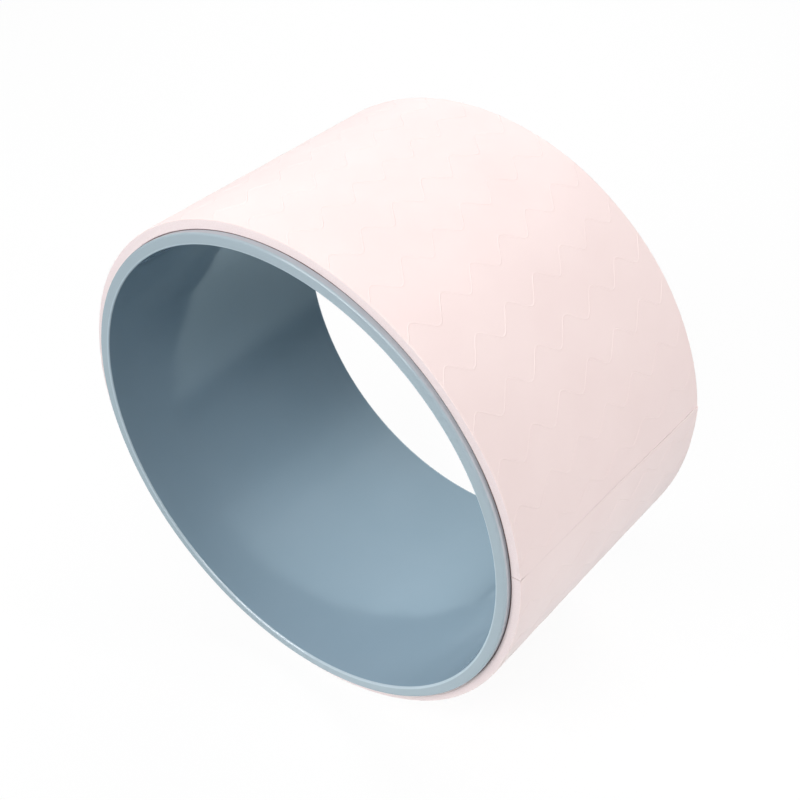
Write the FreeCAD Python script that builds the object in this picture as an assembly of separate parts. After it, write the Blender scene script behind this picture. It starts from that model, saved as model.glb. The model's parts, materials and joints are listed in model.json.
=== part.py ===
import FreeCAD, Part
import math
import os

# A yoga wheel: a rigid hoop with a strip of foam glued round it.
# Millimetres. The origin is the middle of the hoop, its axis lies along Y and Z is up.

# Rigid hoop
ring_outer_diameter = 317.0
ring_wall = 7.2
ring_width = 194.0
rim_outer_rounding = 1.3
rim_inner_rounding = 1.2

# Film that holds the pad on the hoop
film_thickness = 0.3
film_setback = 0.3

# Foam pad, narrower than the hoop by one lip on each side
lip_reach = 4.2
pad_thickness = 6.2
pad_corner_rounding = 0.5

# Butt joint of the pad: where it lies, in degrees from +X up towards +Z, how wide it is,
# and how far its glue sits back from the tread and the sides
seam_angle = 6.9
seam_gap = 0.4
bond_recess = 0.6

# Radii, half widths and angles that follow from the sizes above
ring_outer_radius = ring_outer_diameter / 2
ring_inner_radius = ring_outer_radius - ring_wall
pad_inner_radius = ring_outer_radius + film_thickness
tread_radius = pad_inner_radius + pad_thickness
half_ring = ring_width / 2
half_pad = half_ring - lip_reach
half_film = half_pad - film_setback
full_turn = 360.0
seam_sweep = math.degrees(seam_gap / tread_radius)
strip_start = seam_angle + seam_sweep / 2
strip_sweep = full_turn - seam_sweep

axis = FreeCAD.Vector(0, 1, 0)
centre = FreeCAD.Vector(0, 0, 0)


def hoop(inner_radius, outer_radius, half_width, start, sweep):
    """Rectangular section swept round the wheel's axis from the start angle."""
    corners = [
        FreeCAD.Vector(inner_radius, -half_width, 0),
        FreeCAD.Vector(outer_radius, -half_width, 0),
        FreeCAD.Vector(outer_radius, half_width, 0),
        FreeCAD.Vector(inner_radius, half_width, 0),
    ]
    section = Part.Face(Part.makePolygon(corners + corners[:1]))
    section.rotate(centre, axis, -start)
    return section.revolve(centre, -axis, sweep)


def round_edges(solid, radius, rounding):
    """Rounds the two circular edges that lie at this radius, one on each side of the wheel."""
    edges = []
    for edge in solid.Edges:
        if isinstance(edge.Curve, Part.Circle) and math.isclose(edge.Curve.Radius, radius):
            edges.append(edge)
    return solid.makeFillet(rounding, edges).Solids[0]


def core_ring():
    """Plain tube with rounded rims."""
    tube = hoop(ring_inner_radius, ring_outer_radius, half_ring, seam_angle, full_turn)
    tube = round_edges(tube, ring_outer_radius, rim_outer_rounding)
    return round_edges(tube, ring_inner_radius, rim_inner_rounding)


def adhesive_film():
    """Film under the pad, cut to the pad's length and set back from its sides."""
    return hoop(ring_outer_radius, pad_inner_radius, half_film, strip_start, strip_sweep)


def foam_pad():
    """Strip bent round the hoop, from one side of its butt joint to the other."""
    strip = hoop(pad_inner_radius, tread_radius, half_pad, strip_start, strip_sweep)
    return round_edges(strip, tread_radius, pad_corner_rounding)


def seam_bond():
    """Glue that fills the butt joint from the hoop up to just below the tread."""
    return hoop(ring_outer_radius, tread_radius - bond_recess, half_pad - bond_recess,
                seam_angle - seam_sweep / 2, seam_sweep)


os.makedirs("parts", exist_ok=True)
for piece in (core_ring, adhesive_film, foam_pad, seam_bond):
    solid = piece()
    solid.exportStep("parts/" + piece.__name__ + ".step")
    print(piece.__name__, solid.ShapeType, solid.isValid(), round(solid.Volume), "mm3")
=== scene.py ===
import json
import math
import bpy
import numpy as np
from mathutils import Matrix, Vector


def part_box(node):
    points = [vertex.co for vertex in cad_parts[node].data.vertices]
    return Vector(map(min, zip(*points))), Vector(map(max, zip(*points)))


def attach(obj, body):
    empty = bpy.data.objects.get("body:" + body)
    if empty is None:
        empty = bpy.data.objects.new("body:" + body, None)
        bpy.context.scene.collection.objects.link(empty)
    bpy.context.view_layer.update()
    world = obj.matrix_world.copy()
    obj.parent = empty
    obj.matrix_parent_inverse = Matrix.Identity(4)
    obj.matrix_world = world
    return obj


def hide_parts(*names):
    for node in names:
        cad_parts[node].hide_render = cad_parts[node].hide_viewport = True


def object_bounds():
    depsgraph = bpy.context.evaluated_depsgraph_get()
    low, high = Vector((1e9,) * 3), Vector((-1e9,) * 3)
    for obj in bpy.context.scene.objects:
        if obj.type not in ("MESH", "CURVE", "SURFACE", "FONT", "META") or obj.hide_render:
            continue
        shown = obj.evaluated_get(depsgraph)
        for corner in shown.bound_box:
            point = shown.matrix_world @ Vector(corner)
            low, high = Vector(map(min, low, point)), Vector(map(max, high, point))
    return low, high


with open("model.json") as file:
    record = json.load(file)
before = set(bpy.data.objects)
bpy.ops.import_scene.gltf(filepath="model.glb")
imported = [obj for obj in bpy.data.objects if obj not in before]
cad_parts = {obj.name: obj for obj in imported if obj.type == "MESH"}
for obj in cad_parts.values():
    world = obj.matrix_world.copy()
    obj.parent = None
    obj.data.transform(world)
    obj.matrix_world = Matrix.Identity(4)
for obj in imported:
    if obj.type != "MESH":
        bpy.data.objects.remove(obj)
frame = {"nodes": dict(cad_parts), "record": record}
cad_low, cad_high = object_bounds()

# Core ring: the rigid hoop that all else is glued to, a plain tube moulded in blue-grey ABS. Its rims and
# outer edges are satin. Its bore is polished, keeps faint draw lines from the mould and is painted darker
# as shade inside the tube. Its inner edges are buffed and painted lighter as a highlight line, and its
# outer wall is keyed for the film and tinted warm as painted light thrown back from the pink pad. Both ends
# stand a little proud of the pad.
ring_low, ring_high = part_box("core_ring")
ring_radius = max(ring_high.x, ring_high.z)
bore_mount = next(mount for mount in frame["record"]["mounts"] if mount["name"] == "bore")
bore_radius = bore_mount["dims"]["r_mm"] / 1000
rim_outer_rounding = 0.0013
rim_inner_rounding = 0.0012
rounding_steps = 8
ring_columns = 480
ring_wall_steps = 24
sharp_edge_angle = math.radians(50)
flat_step = 1e-7
rim_colour = (163, 176, 184)
rim_shade_colour = (160, 174, 182)
rim_roughness = (0.09, 0.14)
# Painted shade: the bore's colours are darker than the rims' to stand for the shade inside the tube
painted_shade_bore_colour = (132, 152, 166)
painted_shade_bore_patch_colour = (129, 150, 164)
bore_roughness = (0.1, 0.14)
bore_shine = 0.6
draw_line_pitch = 0.02
draw_line_detail = 0.0
draw_line_stretch = 0.08
draw_line_depth = 0.0003
# Painted highlight: the inner edges are coloured lighter than the rims to draw a bright line along them
painted_highlight_edge_colour = (182, 196, 205)
edge_roughness = (0.06, 0.12)
edge_shine = 1.0
# Painted light: the outer wall is tinted warmer than the rims for pink light thrown back from the pad
painted_bounce_wall_colour = (172, 177, 184)
keyed_roughness = (0.1, 0.15)
abs_cloud_size = 0.06
abs_gloss_patch = 0.012
orange_peel_size = 0.006
orange_peel_detail = 1.0
orange_peel_depth = 0.00002
satin_grain_size = 0.0006
satin_grain_depth = 0.000006
patch_detail = 2.0
patch_low = 0.3
patch_high = 0.7


def wheel_corner(radius, across, rounding, start):
    """Quarter-round corner of a section as (radius, across) points, from the start angle in degrees."""
    middle = math.radians(start + 45)
    centre_radius = radius - math.copysign(rounding, math.cos(middle))
    centre_across = across - math.copysign(rounding, math.sin(middle))
    turns = np.radians(np.linspace(start, start + 90, rounding_steps + 1))
    return [(centre_radius + rounding * math.cos(turn), centre_across + rounding * math.sin(turn))
            for turn in turns]


def wheel_section(inner, outer, near, far, inner_rounding, outer_rounding, outer_steps, inner_steps):
    """Rows round a rectangular section with rounded corners: along its outer wall, then back along
    its inner one."""
    near_outer = wheel_corner(outer, near, outer_rounding, 270)
    far_outer = wheel_corner(outer, far, outer_rounding, 0)
    far_inner = wheel_corner(inner, far, inner_rounding, 90)
    near_inner = wheel_corner(inner, near, inner_rounding, 180)
    outer_wall = np.linspace(near_outer[-1], far_outer[0], outer_steps + 1)[1:-1]
    inner_wall = np.linspace(far_inner[-1], near_inner[0], inner_steps + 1)[1:-1]
    return np.vstack([near_outer, outer_wall, far_outer, far_inner, inner_wall, near_inner])


def wheel_hoop(name, radius, across, turn, closed):
    """Mesh piece from three grids [column round the wheel][row round the section].
    Where the hoop isn't closed, each end gets a cap."""
    columns, rows = radius.shape
    points = np.stack([radius * np.cos(turn), across, radius * np.sin(turn)], axis=-1)
    number = np.arange(columns * rows).reshape(columns, rows)
    here = number if closed else number[:-1]
    after = np.roll(number, -1, axis=0) if closed else number[1:]
    quads = np.stack([here, np.roll(here, -1, axis=1), np.roll(after, -1, axis=1), after], axis=-1)
    faces = quads.reshape(-1, 4).tolist()
    if not closed:
        faces.append(number[0][::-1].tolist())
        faces.append(number[-1].tolist())
    mesh = bpy.data.meshes.new(name)
    mesh.from_pydata(points.reshape(-1, 3).tolist(), [], faces)
    mesh.shade_smooth()
    mesh.set_sharp_from_angle(angle=sharp_edge_angle)
    piece = bpy.data.objects.new(name, mesh)
    bpy.context.scene.collection.objects.link(piece)
    return piece


def pigment(colour):
    """Linear RGBA of a colour written as 0 to 255 sRGB."""
    parts = [part / 255 for part in colour]
    return [part / 12.92 if part < 0.04045 else ((part + 0.055) / 1.055) ** 2.4 for part in parts] + [1.0]


def wheel_finish(name):
    """New finish: its material, node tree, Principled shader, and places in metres on the wheel."""
    material = bpy.data.materials.new(name)
    material.use_nodes = True
    tree = material.node_tree
    shader = next(node for node in tree.nodes if node.type == "BSDF_PRINCIPLED")
    place = tree.nodes.new("ShaderNodeTexCoord").outputs["Object"]
    return material, tree, shader, place


def patches(tree, place, size, detail=patch_detail):
    """Soft patches about this many metres across, as a value from 0 to 1."""
    texture = tree.nodes.new("ShaderNodeTexNoise")
    texture.inputs["Scale"].default_value = 1 / size
    texture.inputs["Detail"].default_value = detail
    tree.links.new(place, texture.inputs["Vector"])
    return texture.outputs["Fac"]


def uneven_gloss(tree, shader, place, size, roughness):
    """Roughness that goes from the lower to the higher given value in patches of this size."""
    ranged = tree.nodes.new("ShaderNodeMapRange")
    ranged.inputs["From Min"].default_value = patch_low
    ranged.inputs["From Max"].default_value = patch_high
    ranged.inputs["To Min"].default_value = roughness[0]
    ranged.inputs["To Max"].default_value = roughness[1]
    tree.links.new(patches(tree, place, size), ranged.inputs["Value"])
    tree.links.new(ranged.outputs["Result"], shader.inputs["Roughness"])


def mottle(tree, value, colour, other):
    """Colour that runs from one sRGB colour to another as a patch value rises."""
    ramp = tree.nodes.new("ShaderNodeValToRGB")
    ramp.color_ramp.elements[0].position = patch_low
    ramp.color_ramp.elements[1].position = patch_high
    ramp.color_ramp.elements[0].color = pigment(colour)
    ramp.color_ramp.elements[1].color = pigment(other)
    tree.links.new(value, ramp.inputs["Fac"])
    return ramp.outputs["Color"]


def relief(tree, height, depth, under=None):
    """Bump of this depth in metres, laid over another bump where one is given."""
    bump = tree.nodes.new("ShaderNodeBump")
    bump.inputs["Strength"].default_value = 1.0
    bump.inputs["Distance"].default_value = depth
    tree.links.new(height, bump.inputs["Height"])
    if under is not None:
        tree.links.new(under, bump.inputs["Normal"])
    return bump.outputs["Normal"]


ring_rows = wheel_section(bore_radius, ring_radius, ring_low.y, ring_high.y,
                          rim_inner_rounding, rim_outer_rounding, ring_wall_steps, ring_wall_steps)
ring_turn = np.linspace(0, 2 * math.pi, ring_columns, endpoint=False)
ring_grid = np.ones((ring_columns, 1))
core_ring = wheel_hoop("core_ring_moulding", ring_grid * ring_rows[:, 0], ring_grid * ring_rows[:, 1],
                       ring_turn[:, None] + 0 * ring_rows[:, 0], closed=True)

satin_abs, tree, shader, place = wheel_finish("satin_abs")
rim_clouds = mottle(tree, patches(tree, place, abs_cloud_size), rim_colour, rim_shade_colour)
tree.links.new(rim_clouds, shader.inputs["Base Color"])
uneven_gloss(tree, shader, place, abs_gloss_patch, rim_roughness)
orange_peel_height = patches(tree, place, orange_peel_size, orange_peel_detail)
orange_peel = relief(tree, orange_peel_height, orange_peel_depth)
satin_grain = relief(tree, patches(tree, place, satin_grain_size), satin_grain_depth, orange_peel)
tree.links.new(satin_grain, shader.inputs["Normal"])

# Polished bore, with its colour painted darker as shade inside the tube
polished_abs_painted_shade, tree, shader, place = wheel_finish("polished_abs_painted_shade")
shader.inputs["Specular IOR Level"].default_value = bore_shine
bore_clouds = mottle(tree, patches(tree, place, abs_cloud_size), painted_shade_bore_colour, painted_shade_bore_patch_colour)
tree.links.new(bore_clouds, shader.inputs["Base Color"])
uneven_gloss(tree, shader, place, abs_gloss_patch, bore_roughness)
lengthwise = tree.nodes.new("ShaderNodeMapping")
lengthwise.inputs["Scale"].default_value = (1, draw_line_stretch, 1)
tree.links.new(place, lengthwise.inputs["Vector"])
draw_line_height = patches(tree, lengthwise.outputs["Vector"], draw_line_pitch, draw_line_detail)
draw_lines = relief(tree, draw_line_height, draw_line_depth)
orange_peel_height = patches(tree, place, orange_peel_size, orange_peel_detail)
orange_peel = relief(tree, orange_peel_height, orange_peel_depth, draw_lines)
tree.links.new(orange_peel, shader.inputs["Normal"])

# Buffed inner edges, with a lighter colour that is a painted highlight line
buffed_edge_painted_highlight, tree, shader, place = wheel_finish("buffed_edge_painted_highlight")
shader.inputs["Base Color"].default_value = pigment(painted_highlight_edge_colour)
shader.inputs["Specular IOR Level"].default_value = edge_shine
uneven_gloss(tree, shader, place, abs_gloss_patch, edge_roughness)

# Outer wall keyed for the film, its warm tint painted light thrown back from the pad
keyed_abs_painted_bounce, tree, shader, place = wheel_finish("keyed_abs_painted_bounce")
shader.inputs["Base Color"].default_value = pigment(painted_bounce_wall_colour)
uneven_gloss(tree, shader, place, abs_gloss_patch, keyed_roughness)

ring_finishes = [satin_abs, polished_abs_painted_shade, buffed_edge_painted_highlight, keyed_abs_painted_bounce]
for finish in ring_finishes:
    core_ring.data.materials.append(finish)
row_step = np.roll(ring_rows, -1, axis=0) - ring_rows
on_edge = (np.abs(row_step) > flat_step).all(axis=1)
on_wall = row_step[:, 0] == 0
outside = ring_rows[:, 0] > (bore_radius + ring_radius) / 2
row_finish = np.full(len(ring_rows), ring_finishes.index(satin_abs), np.int32)
row_finish[on_wall & outside] = ring_finishes.index(keyed_abs_painted_bounce)
row_finish[on_wall & ~outside] = ring_finishes.index(polished_abs_painted_shade)
row_finish[on_edge & ~outside] = ring_finishes.index(buffed_edge_painted_highlight)
core_ring.data.polygons.foreach_set("material_index", np.tile(row_finish, ring_columns))
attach(core_ring, "root")
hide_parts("core_ring")

# Adhesive film: the thin double-sided film that holds the pad, rolled onto the ring before the pad is bent
# round. Only its edge shows, just inside the pad's side, and its dull dark brown is partly glue colour and
# partly painted shade for the gap between ring and pad.
adhesive_film = frame["nodes"]["adhesive_film"]
film_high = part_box("adhesive_film")[1]
# Partly painted shade: the film's dark brown also darkens the gap between ring and pad
film_edge_gap_shade_colour = (108, 78, 73)
film_gap_shade_patch_colour = (86, 60, 56)
film_patch_size = 0.004
film_grain_size = 0.0008
film_roughness = 0.7
glue_grain_depth = 0.00005


def glue_finish(name, colour, shade_colour, patch_size, grain_size, roughness):
    """Dull dried glue, patchy in colour and grainy."""
    glue, tree, shader, place = wheel_finish(name)
    shader.inputs["Roughness"].default_value = roughness
    glue_patches = mottle(tree, patches(tree, place, patch_size), colour, shade_colour)
    tree.links.new(glue_patches, shader.inputs["Base Color"])
    glue_grain = relief(tree, patches(tree, place, grain_size), glue_grain_depth)
    tree.links.new(glue_grain, shader.inputs["Normal"])
    return glue


adhesive_film.data.materials.clear()
adhesive_film.data.materials.append(glue_finish(
    "film_glue_gap_shade", film_edge_gap_shade_colour, film_gap_shade_patch_colour, film_patch_size, film_grain_size, film_roughness))

# Foam pad: one strip of pale pink closed-cell TPE mat foam, its tread embossed with thin raised wave lines.
# It is cut to length, glued down and bent round the ring until its ends meet in a butt joint, where they
# stand off a little, most at the far side.
pad_low, pad_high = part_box("foam_pad")
bond_low, bond_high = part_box("seam_bond")
pad_inner_radius = max(film_high.x, film_high.z)
tread_radius = max(pad_high.x, pad_high.z)
pad_width = pad_high.y - pad_low.y
strip_length = 2 * math.pi * tread_radius
pad_corner_rounding = 0.0005
pad_inner_rounding = 0.0006
tread_steps = 150
under_steps = 12
column_step = 0.0035
seam_angle = math.atan2(bond_low.z + bond_high.z, bond_low.x + bond_high.x)
seam_gap_near = 0.00004
seam_gap_far = 0.0001
seam_gap_curve = 2
seam_nick = 0.0012
seam_nick_run = 0.003
seam_nick_curve = 4
seam_lift_near = 0.0004
seam_lift_far = 0.0032
seam_lift_run = 0.14
seam_lift_curve = 1.5
seam_lift_under = 0.4
seam_step = 0.0005
seam_step_run = 0.02
edge_wander = 0.00015
edge_wander_waves = ((1.0, 5, 0.4), (0.6, 13, 1.9))
wave_lines = 37
wave_pitch = 0.02775
wave_first = 0.0176
wave_length = 0.0295
wave_start = 0.0018
wave_reach = 0.0058
wave_sharpness = 0.9
wave_slant = 0.11
wave_runout = 0.022
emboss_height = 0.00018
emboss_half_width = 0.0006
emboss_shares = (-1.5, -1.0, -0.6, -0.3, 0.0, 0.3, 0.6, 1.0, 1.5)
pad_colour = (240, 220, 217)
pad_shade_colour = (237, 216, 213)
skin_cloud_size = 0.05
skin_gloss_patch = 0.01
skin_roughness = (0.55, 0.65)
skin_sheen = 0.25
skin_grain_size = 0.0015
skin_grain_depth = 0.00003
skin_pore_size = 0.0005
skin_pore_depth = 0.00001
cut_foam_colour = (234, 219, 219)
# Painted shade: the cell pits are coloured a little darker than the walls between them
cut_foam_pore_shade_colour = (230, 214, 213)
cut_foam_cell_size = 0.0007
cut_foam_cell_depth = 0.00003
cut_foam_roughness = 0.8

# Columns along the strip, closer together across each raised line
emboss_lines = wave_first + wave_pitch * np.arange(wave_lines)
column_marks = [0.0]
for line in emboss_lines:
    column_marks += [line + emboss_half_width * share for share in emboss_shares]
column_marks.append(strip_length)
strip_columns = []
for here, after in zip(column_marks, column_marks[1:]):
    steps = math.ceil((after - here) / column_step)
    strip_columns += list(np.linspace(here, after, steps, endpoint=False))
along = np.array(strip_columns + [strip_length])[:, None]

pad_rows = wheel_section(pad_inner_radius, tread_radius, 0.0, pad_width,
                         pad_inner_rounding, pad_corner_rounding, tread_steps, under_steps)
row_radius = pad_rows[:, 0]
row_across = pad_rows[:, 1]
tread_share = (row_radius - pad_inner_radius) / (tread_radius - pad_inner_radius)
skin_share = np.clip((row_radius - tread_radius + pad_corner_rounding) / pad_corner_rounding, 0, 1)
far_share = row_across / pad_width

# Columns swing to and fro across the tread, so that each raised line is a wave
wave = np.arcsin(wave_sharpness * np.sin(2 * math.pi * (row_across - wave_start) / wave_length))
wave = wave_reach * wave / math.asin(wave_sharpness) + wave_slant * (row_across - pad_width / 2)
from_end = np.minimum(along, strip_length - along)
strip_along = along + np.minimum(from_end / wave_runout, 1) * tread_share * wave
line_distance = np.abs(along - emboss_lines[None, :]).min(axis=1, keepdims=True) / emboss_half_width
ground_share = (1 - np.cos(math.pi * np.minimum(line_distance, 1))) / 2
ground_drop = emboss_height * ground_share * skin_share

# Butt joint: a hair's gap with a nick at the near side, ends that stand off, and a small step between them
nick_share = np.clip(1 - row_across / seam_nick_run, 0, 1) * np.abs(2 * tread_share - 1) ** seam_nick_curve
seam_gap = seam_gap_near + (seam_gap_far - seam_gap_near) * far_share ** seam_gap_curve
seam_gap = seam_gap + seam_nick * nick_share
seam_lift = seam_lift_near + (seam_lift_far - seam_lift_near) * far_share ** seam_lift_curve
strip_end = np.minimum(strip_along, strip_length - strip_along)
lift = seam_lift * np.clip(1 - strip_end / seam_lift_run, 0, 1) ** seam_lift_curve
lift = lift * (seam_lift_under + (1 - seam_lift_under) * tread_share)
step_share = np.clip(1 - (strip_length - strip_along) / seam_step_run, 0, 1)
lift = lift + seam_step * far_share * tread_share * step_share

pad_turn = seam_angle + (seam_gap / 2 + strip_along * (1 - seam_gap / strip_length)) / tread_radius
side_waves = [share * np.sin(count * pad_turn + start) for share, count, start in edge_wander_waves]
wander = edge_wander * sum(side_waves)
foam_pad = wheel_hoop("foam_pad_strip", row_radius - ground_drop + lift,
                      pad_low.y + row_across + wander * np.cos(math.pi * far_share), pad_turn, closed=False)

tread_skin, tree, shader, place = wheel_finish("tread_skin")
shader.inputs["Sheen Weight"].default_value = skin_sheen
skin_clouds = mottle(tree, patches(tree, place, skin_cloud_size), pad_colour, pad_shade_colour)
tree.links.new(skin_clouds, shader.inputs["Base Color"])
uneven_gloss(tree, shader, place, skin_gloss_patch, skin_roughness)
skin_grain = relief(tree, patches(tree, place, skin_grain_size), skin_grain_depth)
skin_pores = relief(tree, patches(tree, place, skin_pore_size), skin_pore_depth, skin_grain)
tree.links.new(skin_pores, shader.inputs["Normal"])

cut_foam, tree, shader, place = wheel_finish("cut_foam")
shader.inputs["Roughness"].default_value = cut_foam_roughness
cells = tree.nodes.new("ShaderNodeTexVoronoi")
cells.inputs["Scale"].default_value = 1 / cut_foam_cell_size
tree.links.new(place, cells.inputs["Vector"])
cell_walls = cells.outputs["Distance"]
# Cell pits sink and are painted a little darker as shade in them
tree.links.new(mottle(tree, cell_walls, cut_foam_pore_shade_colour, cut_foam_colour), shader.inputs["Base Color"])
tree.links.new(relief(tree, cell_walls, cut_foam_cell_depth), shader.inputs["Normal"])

pad_finishes = [tread_skin, cut_foam]
for finish in pad_finishes:
    foam_pad.data.materials.append(finish)
cut_rows = (skin_share == 0) & (np.roll(skin_share, -1) == 0)
cut_faces = np.append(np.tile(cut_rows, len(along) - 1), [True, True])
face_finish = cut_faces.astype(np.int32) * pad_finishes.index(cut_foam)
foam_pad.data.polygons.foreach_set("material_index", face_finish)
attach(foam_pad, "root")
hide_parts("foam_pad")

# Seam bond: the line of contact glue that closes the pad's butt joint, brushed on both ends before they
# meet. It dries darker than the foam and stays a little below the tread.
seam_bond = frame["nodes"]["seam_bond"]
bond_colour = (186, 158, 152)
bond_shade_colour = (160, 132, 126)
bond_patch_size = 0.003
bond_grain_size = 0.0006
bond_roughness = 0.6
seam_bond.data.materials.clear()
seam_bond.data.materials.append(glue_finish(
    "dried_glue", bond_colour, bond_shade_colour, bond_patch_size, bond_grain_size, bond_roughness))

# Floor and light: white studio paper that the wheel stands on, softboxes round it and a dim room. The
# camera sees plain white with a soft shadow. Gloss sees the paper near the wheel and the room's bright
# side, both a little bluish, and light is thrown back most from the spot of paper beside the wheel.
white = (255, 255, 255)
floor_half = 4.0
floor_white_share = 0.93
paper_colour = (235, 235, 235)
room_floor_colour = (94, 110, 116)
paper_gloss_colour = (222, 247, 255)
paper_gloss = 1.0
paper_reach = 0.8
bright_reach = 0.2
bounce_place = (0.35, -0.16, cad_low.z)
bounce_reach = 0.55
wheel_foot = (0, 0, cad_low.z)
surround_light = 0.03
room_gloss = 0.15
room_bright_gloss = 1.6
room_bright_side = (-0.34, 0.56, 0.76)
room_bright_from = 0.35
room_bright_full = 0.97

floor_mesh = bpy.data.meshes.new("studio_floor")
floor_signs = ((-1, -1), (1, -1), (1, 1), (-1, 1))
floor_corners = [(x * floor_half, y * floor_half, cad_low.z) for x, y in floor_signs]
floor_mesh.from_pydata(floor_corners, [], [(0, 1, 2, 3)])
floor = bpy.data.objects.new("studio_floor", floor_mesh)
bpy.context.scene.collection.objects.link(floor)


def studio_measure(tree, operation, place, point):
    """A place's distance from a point, or a direction's dot product with another."""
    measure = tree.nodes.new("ShaderNodeVectorMath")
    measure.operation = operation
    measure.inputs[1].default_value = point
    tree.links.new(place, measure.inputs[0])
    return measure.outputs["Value"]


def studio_fade(tree, value, start, end, first, last):
    """Goes smoothly from the first number to the last as the value goes from start to end."""
    fade = tree.nodes.new("ShaderNodeMapRange")
    fade.interpolation_type = "SMOOTHSTEP"
    for socket, given in (("From Min", start), ("From Max", end), ("To Min", first), ("To Max", last)):
        fade.inputs[socket].default_value = given
    tree.links.new(value, fade.inputs["Value"])
    return fade.outputs["Result"]


def ray_choice(tree, when, otherwise, value):
    """The value where the ray is of this kind, and the other one elsewhere.
    Each is a number or a socket."""
    choice = tree.nodes.new("ShaderNodeMix")
    tree.links.new(when, choice.inputs["Factor"])
    for socket, given in (("A", otherwise), ("B", value)):
        if isinstance(given, float):
            choice.inputs[socket].default_value = given
        else:
            tree.links.new(given, choice.inputs[socket])
    return choice.outputs["Result"]


def studio_white(tree, to_camera):
    """Plain white to the camera, and the lit paper's bluish white to all else."""
    return mottle(tree, to_camera, paper_gloss_colour, white)


floor_paint = bpy.data.materials.new("floor_paint")
floor_paint.use_nodes = True
tree = floor_paint.node_tree
tree.nodes.clear()
path = tree.nodes.new("ShaderNodeLightPath")
to_camera = path.outputs["Is Camera Ray"]
floor_place = tree.nodes.new("ShaderNodeTexCoord").outputs["Object"]
from_bounce = studio_measure(tree, "DISTANCE", floor_place, bounce_place)
bounce_share = studio_fade(tree, from_bounce, bright_reach, bounce_reach, 1.0, 0.0)
paper_share = ray_choice(tree, to_camera, bounce_share, 1.0)
paper = tree.nodes.new("ShaderNodeBsdfDiffuse")
tree.links.new(mottle(tree, paper_share, room_floor_colour, paper_colour), paper.inputs["Color"])
from_wheel = studio_measure(tree, "DISTANCE", floor_place, wheel_foot)
paper_in_gloss = studio_fade(tree, from_wheel, bright_reach, paper_reach, paper_gloss, 0.0)
white_share = ray_choice(tree, path.outputs["Is Glossy Ray"], 0.0, paper_in_gloss)
white_share = ray_choice(tree, to_camera, white_share, floor_white_share)
glow = tree.nodes.new("ShaderNodeEmission")
tree.links.new(studio_white(tree, to_camera), glow.inputs["Color"])
seen_white = tree.nodes.new("ShaderNodeMixShader")
tree.links.new(white_share, seen_white.inputs["Fac"])
tree.links.new(paper.outputs["BSDF"], seen_white.inputs[1])
tree.links.new(glow.outputs["Emission"], seen_white.inputs[2])
floor_output = tree.nodes.new("ShaderNodeOutputMaterial")
tree.links.new(seen_white.outputs["Shader"], floor_output.inputs["Surface"])
floor_mesh.materials.append(floor_paint)

surround = bpy.data.worlds.new("white_surround")
surround.use_nodes = True
tree = surround.node_tree
path = tree.nodes.new("ShaderNodeLightPath")
to_camera = path.outputs["Is Camera Ray"]
mirrored = tree.nodes.new("ShaderNodeMath")
mirrored.operation = "MAXIMUM"
tree.links.new(path.outputs["Is Glossy Ray"], mirrored.inputs[0])
tree.links.new(path.outputs["Is Transmission Ray"], mirrored.inputs[1])
towards = tree.nodes.new("ShaderNodeTexCoord").outputs["Generated"]
facing = studio_measure(tree, "DOT_PRODUCT", towards, room_bright_side)
room = studio_fade(tree, facing, room_bright_from, room_bright_full, room_gloss, room_bright_gloss)
lit = ray_choice(tree, mirrored.outputs["Value"], surround_light, room)
background = next(node for node in tree.nodes if node.type == "BACKGROUND")
tree.links.new(studio_white(tree, to_camera), background.inputs["Color"])
tree.links.new(ray_choice(tree, to_camera, lit, 1.0), background.inputs["Strength"])
bpy.context.scene.world = surround


def softbox(name, place, width, height, power, in_gloss=True):
    """Soft lamp that faces the wheel's middle, and shows in gloss or lights alone."""
    lamp = bpy.data.lights.new(name, "AREA")
    lamp.shape = "RECTANGLE"
    lamp.size = width
    lamp.size_y = height
    lamp.energy = power
    holder = bpy.data.objects.new(name, lamp)
    holder.location = place
    holder.rotation_euler = (-holder.location).to_track_quat("-Z", "Y").to_euler()
    holder.visible_glossy = in_gloss
    bpy.context.scene.collection.objects.link(holder)


# Two lamps light the near side and the tread, and four fill in: a weak one at the near left, a narrow one
# close to the right, and two behind
softbox("softbox_above", (0.52, -0.87, 1.3), 1.0, 0.6, 11.0)
softbox("softbox_front", (-0.42, -1.33, 0.88), 0.9, 0.8, 19.2)
softbox("softbox_side", (-0.9, -0.5, 0.2), 0.5, 0.5, 1.8, in_gloss=False)
softbox("softbox_right", (0.75, 0.07, 0.25), 0.03, 0.7, 2.6, in_gloss=False)
softbox("softbox_back", (0.0, 1.2, 1.2), 1.2, 0.8, 12.0, in_gloss=False)
softbox("softbox_left", (-0.9, 1.0, 0.8), 1.0, 0.8, 9.0, in_gloss=False)

# Camera: stands to the right of the near opening and looks down into the wheel, as in the photograph.
# Its place, aim and lens come from fitting the hoop's outline.
camera_place = (0.4003, -0.4899, 0.5135)
camera_tilt = math.radians(50.89)
camera_heading = math.radians(38.56)
camera_lens = bpy.data.cameras.new("photo_camera")
camera_lens.sensor_width = 36
camera_lens.lens = 57.69
camera = bpy.data.objects.new("photo_camera", camera_lens)
camera.location = camera_place
camera.rotation_euler = (camera_tilt, 0, camera_heading)
bpy.context.scene.collection.objects.link(camera)
bpy.context.scene.camera = camera
bpy.context.scene.view_settings.view_transform = "Standard"
